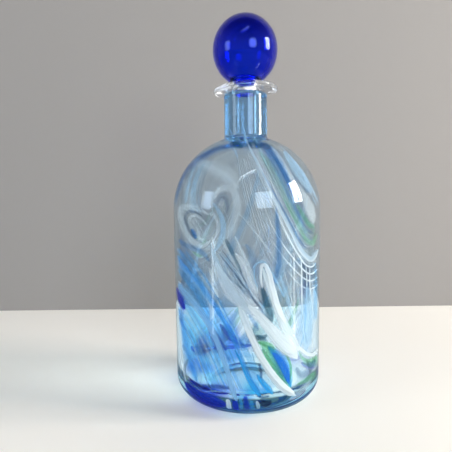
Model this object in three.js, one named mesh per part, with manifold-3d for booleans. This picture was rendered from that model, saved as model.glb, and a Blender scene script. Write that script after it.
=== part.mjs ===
// Decorative glass bottle: a round-shouldered blown vessel with trails of coloured glass rolled into
// its wall, an applied clear lip and a hollow blue ball stopper on a short tubular plug.
// Millimetres, +Z up. The origin is the middle of the face it stands on, and its front faces -Y.
import * as THREE from 'three';
import { mergeVertices } from 'three/addons/utils/BufferGeometryUtils.js';
import Module from 'manifold-3d';

const wasm = await Module();
wasm.setup();

// Vessel
const bodyRadius = 45;
const heelTaper = 0.4; // the wall is this much narrower at the heel than at the shoulder
const heelRadius = 12;
const shoulderHeight = 113.5; // the straight wall ends here and the dome begins
const wallThickness = 3.5;
const floorThickness = 9;
const innerHeelRadius = 9;
const puntRadius = 23; // the hollow under the base, inside the ring that it stands on
const puntRise = 2.5;
const neckRadius = 13;
const neckLength = 25; // from the top of the dome's fillet to the lip
const neckFillet = 2;
const boreRadius = 7;

// Lip
const lipRadius = 19.5;
const lipThickness = 3.4; // at the rim
const lipRise = 1.3; // the underside climbs this much from the neck to the rim
const mouthRounding = 0.8;

// Stopper
const ballRadius = 19.5;
const ballHalfHeight = 21;
const ballWall = 2.6;
const ballFloor = 3.1; // the thick glass where the ball is joined to the plug
const plugRadius = 6.2;
const plugBore = 3.2;
const plugDepth = 5.8; // how far it reaches below the top of the lip
const plugRounding = 0.6;
const collarRadius = 8.6;
const collarThickness = 1.6;

// Trails of coloured glass, rolled flush into the outside of the wall
const trailDepth = 1.2;
const trailWidth = 4; // a common trail at its middle

// Clearances
const jointGap = 0.3; // between two glass pieces that are joined or rest on each other
const grooveProud = 2; // how far a groove's cutter stands out of the wall

// Fineness
const turnSteps = 48;
const chordError = 0.1; // the most that a straight step may leave a profile's curve
const trailStepsPerSpan = 2;
const narrowTrail = 5; // a trail up to this wide is one flat column across, a wider one two

// Heights that follow from the sizes above
const filletRise = Math.sqrt((bodyRadius + neckFillet) ** 2 - (neckRadius + neckFillet) ** 2);
const filletHeight = shoulderHeight + filletRise;
const filletAngle = Math.atan2(filletRise, neckRadius + neckFillet);
const heelMiddle = bodyRadius - heelTaper - heelRadius;
const neckTop = filletHeight + neckLength;
const lipBottom = neckTop + jointGap;
const lipTop = lipBottom + lipRise + lipThickness;
const collarBottom = lipTop + jointGap;
const collarTop = collarBottom + collarThickness;
const ballBottom = collarTop + jointGap;
const ballMiddle = ballBottom + ballHalfHeight * Math.sqrt(1 - (collarRadius / ballRadius) ** 2);

// Each trail: its glass, and its path as [turn in degrees from the front, share of the way up the wall
// from the foot to the neck, width as a multiple of trailWidth], chosen by hand.
const trails = {
  white_trail_broad: ['white', [
    [-22, 0.54, 0.5], [-18, 0.495, 1.5], [-10, 0.445, 2.5], [2, 0.4, 2],
    [12, 0.352, 1.5], [22, 0.305, 1.75], [31, 0.265, 2.25], [38, 0.235, 1],
  ]],
  white_trail_fork: ['white', [
    [-2, 0.345, 0.625], [3, 0.305, 0.875], [9, 0.25, 0.875],
    [17, 0.195, 0.875], [27, 0.142, 0.875], [36, 0.108, 0.625],
  ]],
  white_trail_arch: ['white', [
    [10.5, 0.455, 0.35], [9.5, 0.5, 0.4], [11.5, 0.528, 0.5], [14.5, 0.51, 0.75],
    [17.5, 0.46, 1], [22, 0.395, 1], [27, 0.345, 0.75],
  ]],
  white_trail_upper: ['white', [
    [-8, 0.565, 0.625], [-4, 0.54, 0.875], [1, 0.487, 1], [5, 0.44, 0.75], [8, 0.415, 0.5],
  ]],
  white_trail_leaf: ['white', [
    [-30, 0.575, 0.375], [-37, 0.632, 0.5], [-47, 0.672, 0.5], [-58, 0.68, 0.5],
    [-60, 0.655, 0.5], [-53, 0.62, 0.5], [-45, 0.578, 0.5], [-38, 0.56, 0.4],
  ]],
  white_trail_shoulder: ['white', [
    [8, 0.95, 0.375], [12, 0.85, 0.5], [17, 0.762, 0.55],
    [23, 0.672, 0.55], [32, 0.595, 0.55], [45, 0.525, 0.45],
  ]],
  white_trail_back: ['white', [
    [100, 0.75, 0.5], [115, 0.66, 1], [130, 0.55, 1.5], [142, 0.45, 1.75],
    [150, 0.35, 1.5], [165, 0.26, 1], [185, 0.2, 0.5],
  ]],
  white_trail_back_low: ['white', [
    [210, 0.66, 0.5], [220, 0.6, 0.75], [232, 0.52, 1], [242, 0.43, 1], [255, 0.36, 0.75], [270, 0.33, 0.5],
  ]],
  pale_trail_veil: ['pale', [
    [-23, 0.715, 0.375], [-17, 0.672, 0.75], [-16, 0.63, 0.875], [-19, 0.59, 0.75], [-23, 0.565, 0.45],
  ]],
  pale_trail_left: ['pale', [
    [-66, 0.425, 0.5], [-47, 0.395, 0.75], [-31, 0.35, 1], [-24, 0.305, 1],
    [-17, 0.245, 1], [-13, 0.18, 0.875], [-11, 0.125, 0.625],
  ]],
  pale_trail_shoulder: ['pale', [
    [50, 0.93, 0.375], [50, 0.86, 0.75], [55, 0.785, 1], [62, 0.735, 0.875], [70, 0.7, 0.5],
  ]],
  azure_trail_left: ['azure', [
    [-64, 0.53, 0.5], [-42, 0.485, 0.75], [-26, 0.415, 0.875], [-15, 0.357, 1],
    [-7, 0.3, 1], [-1, 0.262, 1], [4, 0.205, 0.875], [8, 0.15, 0.625],
  ]],
  azure_trail_side: ['azure', [
    [92, 0.5, 0.5], [99, 0.42, 0.875], [105, 0.33, 0.875], [110, 0.22, 0.75], [118, 0.14, 0.5],
  ]],
  azure_trail_shoulder: ['azure', [
    [22, 0.9, 0.5], [23, 0.85, 0.75], [27, 0.785, 0.875], [32, 0.725, 0.875],
    [39, 0.67, 0.75], [48, 0.61, 0.625], [57, 0.58, 0.45],
  ]],
  azure_trail_back: ['azure', [
    [165, 0.85, 0.5], [172, 0.74, 1], [182, 0.62, 1.25], [195, 0.5, 1.25], [205, 0.4, 1], [222, 0.32, 0.625],
  ]],
  cobalt_trail_heel: ['cobalt', [[-58, 0.115, 0.5], [-42, 0.1, 1], [-28, 0.088, 1], [-18, 0.082, 0.5]]],
  cobalt_trail_back_heel: ['cobalt', [[170, 0.1, 0.5], [190, 0.09, 1], [210, 0.095, 1], [228, 0.115, 0.5]]],
  green_trail_drop: ['green', [
    [14, 0.27, 0.375], [19, 0.245, 1.25], [24, 0.215, 1.75], [29, 0.18, 1.25], [33, 0.145, 0.5],
  ]],
  green_trail_right: ['green', [[44, 0.2, 0.5], [55, 0.18, 0.875], [66, 0.165, 0.875], [78, 0.17, 0.5]]],
  green_trail_back: ['green', [[120, 0.33, 0.5], [130, 0.25, 1], [140, 0.18, 1], [150, 0.13, 0.5]]],
};

const glasses = {
  vessel: { color: '#b7c8dc', roughness: 0.05, metalness: 0 },
  lip: { color: '#e4e4e2', roughness: 0.05, metalness: 0 },
  stopper: { color: '#0c20b0', roughness: 0.05, metalness: 0 },
  white: { color: '#eef2f8', roughness: 0.15, metalness: 0 },
  pale: { color: '#a9c6ea', roughness: 0.15, metalness: 0 },
  azure: { color: '#3f8fe0', roughness: 0.15, metalness: 0 },
  cobalt: { color: '#1a2fc0', roughness: 0.15, metalness: 0 },
  green: { color: '#4f9a6a', roughness: 0.15, metalness: 0 },
};

const point = (radius, height) => new THREE.Vector2(radius, height);

// Points of an elliptical arc in the profile plane, angles in radians from the outward direction.
function arc(radius, height, across, up, from, to) {
  const points = [];
  const widestStep = 2 * Math.acos(1 - chordError / Math.max(across, up));
  const steps = Math.ceil(Math.abs(to - from) / widestStep);
  for (let i = 0; i <= steps; i += 1) {
    const angle = from + ((to - from) * i) / steps;
    points.push(point(radius + across * Math.cos(angle), height + up * Math.sin(angle)));
  }
  return points;
}

// One closed shell: shared corners merged, and the slivers that a lathe leaves on its axis dropped.
function weld(geometry) {
  geometry.deleteAttribute('normal');
  geometry.deleteAttribute('uv');
  const merged = mergeVertices(geometry, 1e-4);
  const corners = [];
  for (let i = 0; i < merged.index.count; i += 3) {
    const [a, b, c] = [0, 1, 2].map((k) => merged.index.getX(i + k));
    if (a !== b && b !== c && c !== a) corners.push(a, b, c);
  }
  merged.setIndex(corners);
  return merged;
}

// A turned solid from its profile, which runs up the outside and down the inside.
function turned(profile) {
  const geometry = new THREE.LatheGeometry(profile, turnSteps);
  geometry.rotateX(Math.PI / 2);
  return weld(geometry);
}

function toSolid(geometry) {
  const vertProperties = new Float32Array(geometry.attributes.position.array);
  const triVerts = new Uint32Array(geometry.index.array);
  return new wasm.Manifold(new wasm.Mesh({ numProp: 3, vertProperties, triVerts }));
}

function toGeometry(solid) {
  const { vertProperties, triVerts } = solid.getMesh();
  const geometry = new THREE.BufferGeometry();
  geometry.setAttribute('position', new THREE.BufferAttribute(vertProperties, 3));
  geometry.setIndex(new THREE.BufferAttribute(triVerts, 1));
  return geometry;
}

// The outside of the wall, from the edge of the foot up to the fillet under the neck.
function outerWall() {
  const path = new THREE.Path();
  path.absarc(heelMiddle, heelRadius, heelRadius, -Math.PI / 2, 0, false);
  path.lineTo(bodyRadius, shoulderHeight);
  path.absarc(0, shoulderHeight, bodyRadius, 0, filletAngle, false);
  return path;
}

const wall = outerWall();
const wallLength = wall.getLength();

function vesselProfile() {
  const puntSphere = (puntRadius ** 2 + puntRise ** 2) / (2 * puntRise);
  const puntAngle = Math.asin(puntRadius / puntSphere);
  const innerRadius = bodyRadius - wallThickness;
  const boreAngle = Math.acos(boreRadius / innerRadius);
  const innerHeelMiddle = innerRadius - heelTaper - innerHeelRadius;
  const punt = arc(0, puntRise - puntSphere, puntSphere, puntSphere, Math.PI / 2, Math.PI / 2 - puntAngle);
  const neckFilletArc = arc(
    neckRadius + neckFillet, filletHeight, neckFillet, neckFillet, Math.PI + filletAngle, Math.PI,
  );
  const innerDome = arc(0, shoulderHeight, innerRadius, innerRadius, boreAngle, 0);
  const innerHeel = arc(
    innerHeelMiddle, floorThickness + innerHeelRadius, innerHeelRadius, innerHeelRadius, 0, -Math.PI / 2,
  );
  return [
    ...punt,
    ...arc(heelMiddle, heelRadius, heelRadius, heelRadius, -Math.PI / 2, 0),
    ...arc(0, shoulderHeight, bodyRadius, bodyRadius, 0, filletAngle),
    ...neckFilletArc.slice(1),
    point(neckRadius, neckTop),
    point(boreRadius, neckTop),
    ...innerDome,
    ...innerHeel,
    point(0, floorThickness),
  ];
}

// A strip that follows a trail's path on the wall, between two offsets from the wall's outside.
// spread widens and lengthens it on every side.
function strip(path, spread, outside, inside) {
  const line = new THREE.CatmullRomCurve3(
    path.map(([turn, way, width]) => (
      new THREE.Vector3(THREE.MathUtils.degToRad(turn), way, width * trailWidth)
    )),
    false, 'catmullrom',
  );
  const steps = (path.length - 1) * trailStepsPerSpan;
  const columns = Math.max(...path.map(([, , width]) => width)) * trailWidth > narrowTrail ? 2 : 1;
  const positions = [];
  for (let i = 0; i <= steps; i += 1) {
    const here = line.getPoint(i / steps);
    const ahead = line.getPoint(Math.min(1, (i + 0.1) / steps));
    const behind = line.getPoint(Math.max(0, (i - 0.1) / steps));
    const radius = wall.getPoint(here.y).x;
    const along = new THREE.Vector2((ahead.x - behind.x) * radius, (ahead.y - behind.y) * wallLength);
    along.normalize();
    const overrun = i === 0 ? -spread : i === steps ? spread : 0;
    for (let k = 0; k <= columns; k += 1) {
      const aside = (k / columns - 0.5) * (here.z + 2 * spread);
      const turn = here.x + (along.x * overrun - along.y * aside) / radius;
      const way = here.y + (along.y * overrun + along.x * aside) / wallLength;
      const at = wall.getPoint(way);
      const tangent = wall.getTangent(way);
      for (const offset of [outside, inside]) {
        const out = at.x + tangent.y * offset;
        positions.push(out * Math.sin(turn), -out * Math.cos(turn), at.y - tangent.x * offset);
      }
    }
  }
  const corners = [];
  const corner = (i, k, side) => (i * (columns + 1) + k) * 2 + side;
  const quad = (a, b, c, d) => corners.push(a, b, c, a, c, d);
  for (let i = 0; i < steps; i += 1) {
    for (let k = 0; k < columns; k += 1) {
      quad(corner(i, k, 0), corner(i + 1, k, 0), corner(i + 1, k + 1, 0), corner(i, k + 1, 0));
      quad(corner(i, k, 1), corner(i, k + 1, 1), corner(i + 1, k + 1, 1), corner(i + 1, k, 1));
    }
    quad(corner(i, 0, 1), corner(i + 1, 0, 1), corner(i + 1, 0, 0), corner(i, 0, 0));
    quad(corner(i, columns, 1), corner(i, columns, 0), corner(i + 1, columns, 0), corner(i + 1, columns, 1));
  }
  for (let k = 0; k < columns; k += 1) {
    quad(corner(0, k, 1), corner(0, k, 0), corner(0, k + 1, 0), corner(0, k + 1, 1));
    quad(corner(steps, k, 1), corner(steps, k + 1, 1), corner(steps, k + 1, 0), corner(steps, k, 0));
  }
  const geometry = new THREE.BufferGeometry();
  geometry.setAttribute('position', new THREE.Float32BufferAttribute(positions, 3));
  geometry.setIndex(corners);
  return geometry;
}

// The blown vessel, with a groove for each trail.
function vessel() {
  let solid = toSolid(turned(vesselProfile()));
  for (const [, path] of Object.values(trails)) {
    solid = solid.subtract(toSolid(strip(path, jointGap, grooveProud, -trailDepth - jointGap)));
  }
  return toGeometry(solid);
}

// The clear disc wrapped round the end of the neck, with a rounded rim and mouth.
function lipDisc() {
  const rimRadius = lipThickness / 2;
  const rimMiddle = lipRadius - rimRadius;
  const rim = arc(rimMiddle, lipTop - rimRadius, rimRadius, rimRadius, -Math.PI / 2, Math.PI / 2);
  const mouth = arc(
    boreRadius + mouthRounding, lipTop - mouthRounding, mouthRounding, mouthRounding, Math.PI / 2, Math.PI,
  );
  return turned([
    point(boreRadius, lipBottom),
    point(neckRadius, lipBottom),
    ...rim,
    ...mouth,
    point(boreRadius, lipBottom),
  ]);
}

// The hollow ball, open below where the plug goes in.
function stopperBall() {
  const socketRadius = plugRadius + jointGap;
  const hollowRadius = ballRadius - ballWall;
  const hollowHalfHeight = ballHalfHeight - ballWall;
  const hollowFloor = ballBottom + ballFloor;
  const seatAngle = -Math.acos(collarRadius / ballRadius);
  const floorAngle = Math.asin((hollowFloor - ballMiddle) / hollowHalfHeight);
  const outside = arc(0, ballMiddle, ballRadius, ballHalfHeight, seatAngle, Math.PI / 2);
  const inside = arc(0, ballMiddle, hollowRadius, hollowHalfHeight, Math.PI / 2, floorAngle);
  return turned([
    point(socketRadius, ballBottom),
    ...outside,
    ...inside,
    point(socketRadius, hollowFloor),
    point(socketRadius, ballBottom),
  ]);
}

// The tubular plug, with the collar that sits on the lip and the spigot that holds the ball.
function stopperPlug() {
  const plugBottom = lipTop - plugDepth;
  const spigotTop = ballBottom + ballFloor - jointGap;
  const edge = plugRadius - plugRounding;
  return turned([
    point(plugBore, plugBottom),
    ...arc(edge, plugBottom + plugRounding, plugRounding, plugRounding, -Math.PI / 2, 0),
    point(plugRadius, collarBottom),
    point(collarRadius, collarBottom),
    point(collarRadius, collarTop),
    point(plugRadius, collarTop),
    point(plugRadius, spigotTop),
    point(plugBore, spigotTop),
    point(plugBore, plugBottom),
  ]);
}

const bottle = new THREE.Group();

function addPiece(name, geometry, glass) {
  geometry.computeVertexNormals();
  const mesh = new THREE.Mesh(geometry, new THREE.MeshStandardMaterial(glasses[glass]));
  mesh.name = name;
  bottle.add(mesh);
}

addPiece('vessel', vessel(), 'vessel');
addPiece('lip_disc', lipDisc(), 'lip');
addPiece('stopper_ball', stopperBall(), 'stopper');
addPiece('stopper_plug', stopperPlug(), 'stopper');
for (const [name, [glass, path]] of Object.entries(trails)) {
  addPiece(name, strip(path, 0, 0, -trailDepth), glass);
}

export default bottle;
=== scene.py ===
import math
import random
from functools import partial

import bmesh
import bpy
import numpy as np
from mathutils import Matrix, Vector, noise


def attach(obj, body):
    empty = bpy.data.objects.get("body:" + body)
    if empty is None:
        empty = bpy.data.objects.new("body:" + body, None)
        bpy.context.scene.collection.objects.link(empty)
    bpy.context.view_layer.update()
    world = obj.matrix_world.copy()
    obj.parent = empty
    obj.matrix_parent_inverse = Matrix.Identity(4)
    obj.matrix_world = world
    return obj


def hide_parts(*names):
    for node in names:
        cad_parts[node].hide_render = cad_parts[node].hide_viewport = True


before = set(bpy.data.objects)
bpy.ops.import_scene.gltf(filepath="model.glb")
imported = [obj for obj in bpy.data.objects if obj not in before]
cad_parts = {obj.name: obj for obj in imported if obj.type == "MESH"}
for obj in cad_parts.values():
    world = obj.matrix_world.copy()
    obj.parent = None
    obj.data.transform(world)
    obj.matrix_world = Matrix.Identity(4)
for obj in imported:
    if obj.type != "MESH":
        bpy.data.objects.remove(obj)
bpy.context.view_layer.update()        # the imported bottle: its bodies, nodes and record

mm = 0.001
mergeDistance = 0.002 * mm
bottleBody = "bottle"
stopperBody = "stopper"


# Small tools

def toLinear(hexColour, alpha=1.0):
    parts = [int(hexColour[i:i + 2], 16) / 255 for i in (1, 3, 5)]
    return tuple(c / 12.92 if c <= 0.04045 else ((c + 0.055) / 1.055) ** 2.4 for c in parts) + (alpha,)


def addNode(tree, kind, links=None, **settings):
    node = tree.nodes.new(kind)
    for name, value in settings.items():
        setattr(node, name, value)
    for socket, value in (links or {}).items():
        if isinstance(value, bpy.types.Node):
            value = value.outputs[0]  # a node stands for its first output
        if isinstance(value, bpy.types.NodeSocket):
            tree.links.new(value, node.inputs[socket])
        else:
            node.inputs[socket].default_value = value
    return node


def newMaterial(name):
    material = bpy.data.materials.new(name)
    material.use_nodes = True
    material.node_tree.nodes.clear()
    return material, partial(addNode, material.node_tree)


def newTree(name, inputs):
    tree = bpy.data.node_groups.new(name, "GeometryNodeTree")
    tree.interface.new_socket("Geometry", in_out="OUTPUT", socket_type="NodeSocketGeometry")
    for label, kind in inputs.items():
        tree.interface.new_socket(label, in_out="INPUT", socket_type="NodeSocket" + kind)
    add = partial(addNode, tree)
    return tree, add, add("NodeGroupInput").outputs


def bakeTree(name, tree, values):
    piece = bpy.data.objects.new(name, bpy.data.meshes.new(name))
    bpy.context.scene.collection.objects.link(piece)
    modifier = piece.modifiers.new("make", "NODES")
    modifier.node_group = tree
    for item in tree.interface.items_tree:
        if item.in_out == "INPUT":
            modifier[item.identifier] = values[item.name]
    graph = bpy.context.evaluated_depsgraph_get()
    made = piece.evaluated_get(graph)
    mesh = bpy.data.meshes.new_from_object(made, preserve_all_data_layers=True, depsgraph=graph)
    piece.modifiers.remove(modifier)
    piece.data = mesh
    mesh.name = name
    mesh.materials.pop(index=0)  # the empty slot that the grid came with
    work = bmesh.new()
    work.from_mesh(mesh)
    bmesh.ops.remove_doubles(work, verts=work.verts, dist=mergeDistance)
    bmesh.ops.recalc_face_normals(work, faces=work.faces)
    work.to_mesh(mesh)
    work.free()
    return piece


def layCurve(name, points, widths=None):
    data = bpy.data.curves.new(name, "CURVE")
    data.dimensions = "3D"
    spline = data.splines.new("BEZIER" if widths else "POLY")
    if widths:
        spline.bezier_points.add(len(points) - 1)
        for knot, place, width in zip(spline.bezier_points, points, widths):
            knot.co = place
            knot.handle_left_type = knot.handle_right_type = "AUTO"
            knot.radius = width / 2
    else:
        spline.points.add(len(points) - 1)
        for knot, place in zip(spline.points, points):
            knot.co = (*place, 1)
    guide = bpy.data.objects.new(name, data)
    bpy.context.scene.collection.objects.link(guide)
    return guide


arcStep = 2.5  # degrees between the points of an arc


def arcPoints(middle, height, across, up, start, end):
    steps = max(2, math.ceil(abs(end - start) / math.radians(arcStep)))
    angles = [start + (end - start) * i / steps for i in range(steps + 1)]
    return [(middle + across * math.cos(a), height + up * math.sin(a)) for a in angles]


def profileCurve(name, outline):
    return layCurve(name, [(r * mm, 0, z * mm) for r, z in outline])


quarter = math.pi / 2

# Sizes of the bottle, in millimetres, as the solids have them
vesselShape = dict(
    bodyRadius=45, heelTaper=0.4, heelRadius=12, shoulderHeight=113.5, wall=3.5, floor=9, innerHeel=9,
    puntRadius=23, puntRise=2.5, neckRadius=13, neckLength=25, neckFillet=2, bore=7,
    rings=420, segments=224,
    unevenness=0.22, unevenSpan=26,  # the inside of blown glass is never quite true
)
lipShape = dict(
    radius=19.5, thickness=3.4, rise=1.3, mouthRounding=0.8, rings=170, segments=160,
    sag=1.7, sagTurn=-75, ripple=0.4, ripples=5,  # one side hangs lower, and the rim ripples
)
stopperShape = dict(
    radius=19.5, halfHeight=21, wall=2.6, floor=3.1, plugRadius=6.2, plugBore=3.2, plugDepth=5.8,
    plugRounding=0.6, collarRadius=8.6, collarThickness=1.6, rings=200, segments=160,
)
jointGap = 0.3

vs, ls, ss = vesselShape, lipShape, stopperShape
filletMiddle = vs["neckRadius"] + vs["neckFillet"]
filletRise = math.sqrt((vs["bodyRadius"] + vs["neckFillet"]) ** 2 - filletMiddle ** 2)
filletHeight = vs["shoulderHeight"] + filletRise
filletAngle = math.atan2(filletRise, filletMiddle)
heelMiddle = vs["bodyRadius"] - vs["heelTaper"] - vs["heelRadius"]
neckTop = filletHeight + vs["neckLength"]
lipBottom = neckTop + jointGap
lipTop = lipBottom + ls["rise"] + ls["thickness"]
collarBottom = lipTop + jointGap
collarTop = collarBottom + ss["collarThickness"]
ballBottom = collarTop + jointGap
ballMiddle = ballBottom + ss["halfHeight"] * math.sqrt(1 - (ss["collarRadius"] / ss["radius"]) ** 2)


# Camera: where the photograph was taken from

cameraView = dict(
    place=(0, -0.2706, 0.1268), tiltDown=5.0, lookLeft=2.69, roll=-0.67, nearest=0.01,
    focalPixels=435, imagePixels=452, sensor=36,
)

cameraData = bpy.data.cameras.new("camera")
cameraData.sensor_width = cameraView["sensor"]
cameraData.lens = cameraView["sensor"] * cameraView["focalPixels"] / cameraView["imagePixels"]
cameraData.clip_start = cameraView["nearest"]
camera = bpy.data.objects.new("camera", cameraData)
lookLeft = Matrix.Rotation(math.radians(cameraView["lookLeft"]), 4, "Z")
turnUp = Matrix.Rotation(math.radians(90 - cameraView["tiltDown"]), 4, "X")
rolled = Matrix.Rotation(math.radians(cameraView["roll"]), 4, "Z")
camera.matrix_world = Matrix.Translation(cameraView["place"]) @ lookLeft @ turnUp @ rolled
bpy.context.scene.collection.objects.link(camera)
bpy.context.scene.camera = camera
print("camera placed")


# Glass

# Blown soda-lime glass with a thin casing of colour: the wall is clear enough to look through, and the
# casing leaves washes of blue, milky veils and fine combed lines that follow the twist of the gather.
casedGlassLook = dict(
    veilColour="#f4f8fc", lampTint="#e2e4e4", veilSpan=13, veilFrom=0.5, veilFull=0.72, veilMost=0.04,
    veilNoise={"Detail": 4.0, "Roughness": 0.6, "Distortion": 0.6},
    ior=1.5, roughness=0.02, sheen="#dce2e8",
    waverSpan=18, waverHeight=0.05, waverStrength=0.5, depth=26.0, passes=(0.1, 0.66, 0.86),
)


def finishGlass(add, look, glass):
    passed = add("ShaderNodeBsdfTransparent", {"Color": toLinear(look["lampTint"])})  # lamps shine through
    lamp = add("ShaderNodeLightPath").outputs["Is Shadow Ray"]
    ends = {"Surface": add("ShaderNodeMixShader", {0: lamp, 1: glass, 2: passed})}
    if "passes" in look:
        ends["Volume"] = add("ShaderNodeVolumeAbsorption", {
            "Color": (*look["passes"], 1), "Density": look["depth"]})
    add("ShaderNodeOutputMaterial", ends)


def casedGlass(look):
    material, add = newMaterial("blown soda glass, cased in blue")
    swirl = add("ShaderNodeAttribute", attribute_name="swirl").outputs["Vector"]
    wash = add("ShaderNodeAttribute", attribute_name="wash").outputs["Color"]
    film = add("ShaderNodeAttribute", attribute_name="film").outputs["Fac"]
    broad = add("ShaderNodeTexNoise", {
        "Vector": swirl, "Scale": 1 / (look["veilSpan"] * mm), **look["veilNoise"]})
    veil = add("ShaderNodeMapRange", {
        "Value": broad.outputs["Fac"], "From Min": look["veilFrom"], "From Max": look["veilFull"],
        "To Max": look["veilMost"]}, interpolation_type="SMOOTHSTEP")
    milk = add("ShaderNodeMath", {0: veil, 1: film}, operation="MULTIPLY")
    tint = add("ShaderNodeMix", {0: milk, 6: wash, 7: toLinear(look["veilColour"])}, data_type="RGBA")
    clear = add("ShaderNodeMath", {0: 1.0, 1: milk}, operation="SUBTRACT")
    waver = add("ShaderNodeTexNoise", {
        "Vector": add("ShaderNodeTexCoord").outputs["Object"], "Scale": 1 / (look["waverSpan"] * mm)})
    bump = add("ShaderNodeBump", {
        "Height": waver.outputs["Fac"], "Strength": look["waverStrength"],
        "Distance": look["waverHeight"] * mm})
    glass = add("ShaderNodeBsdfPrincipled", {
        "Base Color": tint.outputs[2], "Transmission Weight": clear, "IOR": look["ior"],
        "Roughness": look["roughness"], "Specular Tint": toLinear(look["sheen"]), "Normal": bump})
    finishGlass(add, look, glass)
    return material


def clearGlass(look, name):
    material, add = newMaterial(name)
    place = add("ShaderNodeTexCoord").outputs["Object"]
    streak = add("ShaderNodeTexNoise", {
        "Vector": place, "Scale": 1 / (look["streakSpan"] * mm), "Detail": 3.0})
    tint = add("ShaderNodeMix", {
        0: streak.outputs["Fac"], 6: toLinear(look["tint"]),
        7: toLinear(look["streakTint"])}, data_type="RGBA")
    glass = add("ShaderNodeBsdfPrincipled", {
        "Base Color": tint.outputs[2], "Transmission Weight": 1.0, "IOR": look["ior"],
        "Roughness": look["roughness"], "Specular Tint": toLinear(look["sheen"])})
    finishGlass(add, look, glass)
    return material


# Colourless glass wrapped hot round the neck: water clear, with the soft waver of hand work.
lipGlassLook = dict(
    tint="#eef2f8", streakTint="#e4e9f0", streakSpan=7, ior=1.5, roughness=0.01, lampTint="#f6f8fa",
    sheen="#ffffff",
)

# Cobalt glass: clear, but so deep in blue that a few millimetres stop red and most green. A painted
# shade darkens the crown of the ball.
cobaltGlassLook = dict(
    tint="#ffffff", streakTint="#eceffc", streakSpan=14, ior=1.5, roughness=0.01, lampTint="#3a55d8",
    sheen="#9fb2ff", depth=1200.0, passes=(0.0, 0.46, 0.985),
    paintedShadeFrom=210, paintedShadeFull=229, paintedShadeTint="#a0a4c8",
)


def cobaltGlass(look):
    material = clearGlass(look, "cobalt glass")
    tree = material.node_tree
    add = partial(addNode, tree)
    nodes = {node.type: node for node in tree.nodes}
    height = add("ShaderNodeSeparateXYZ", {0: nodes["TEX_COORD"].outputs["Object"]}).outputs["Z"]
    # painted shade: the crown of the ball is tinted darker towards the top
    paintedShade = add("ShaderNodeMapRange", {
        "Value": height, "From Min": look["paintedShadeFrom"] * mm, "From Max": look["paintedShadeFull"] * mm},
        interpolation_type="SMOOTHSTEP")
    tint = add("ShaderNodeMix", {
        0: paintedShade, 6: nodes["MIX"].outputs[2], 7: toLinear(look["paintedShadeTint"])}, data_type="RGBA")
    tree.links.new(tint.outputs[2], nodes["BSDF_PRINCIPLED"].inputs["Base Color"])
    return material


# Strands of opal and coloured glass rolled into the hot wall: feathered at their edges and drawn out in
# streaks. The milky ones stop light and glow, the clear coloured ones stain what is seen through them.
trailGlassLooks = {
    "white": dict(
        name="opal white trail glass", colour="#f6f4ee", streak="#eef1f2", stain="#ffffff",
        milk=0.97, glow=0.18, thin=0.85),
    "pale": dict(
        name="pale blue veil glass", colour="#a4d2ec", streak="#cce6f4", stain="#cce8f8",
        milk=0.7, glow=0.3, thin=0.8),
    "mist": dict(
        name="grey blue mist glass", colour="#c6d5df", streak="#dbe5eb", stain="#e4eef4",
        milk=0.9, glow=0.3, thin=0.85),
    "azure": dict(
        name="azure trail glass", colour="#40c0fa", streak="#84d8fc", stain="#80d4fc",
        milk=0.35, glow=0.3, thin=0.9),
    "steel": dict(
        name="steel blue trail glass", colour="#4f96c8", streak="#84bce2", stain="#7cbce8",
        milk=0.2, glow=0.3, thin=0.9),
    "cyan": dict(
        name="cyan trail glass", colour="#14b8f0", streak="#6cd8f8", stain="#48ccf4",
        milk=0.5, glow=0.3, thin=0.85),
    "royal": dict(
        name="royal blue trail glass", colour="#007cf2", streak="#0e98ff", stain="#0aa0fb",
        milk=0.6, glow=0.2, thin=0.995),
    "sapphire": dict(
        name="sapphire trail glass", colour="#0074cc", streak="#0a8ce0", stain="#0a8ce0",
        milk=0.75, glow=0.15, thin=0.995),
    "cobalt": dict(
        name="cobalt trail glass", colour="#0040c4", streak="#0858dc", stain="#2058e0",
        milk=0.5, glow=0.2, thin=0.99),
    "green": dict(
        name="leaf green trail glass", colour="#58c07c", streak="#a4deb6", stain="#a0e6b8",
        milk=0.45, glow=0.3, thin=0.93),
    "teal": dict(
        name="teal trail glass", colour="#0f5f7a", streak="#1f7f96", stain="#2f7f98",
        milk=0.5, glow=0.3, thin=0.95),
    "ink": dict(
        name="slate blue trail glass", colour="#3a6088", streak="#567f9e", stain="#6692b6",
        milk=0.15, glow=0.3, thin=0.93),
}
trailStreak = dict(length=30, width=1.4, waver=0.4, thinFrom=0.3, thinFull=0.6)


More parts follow.
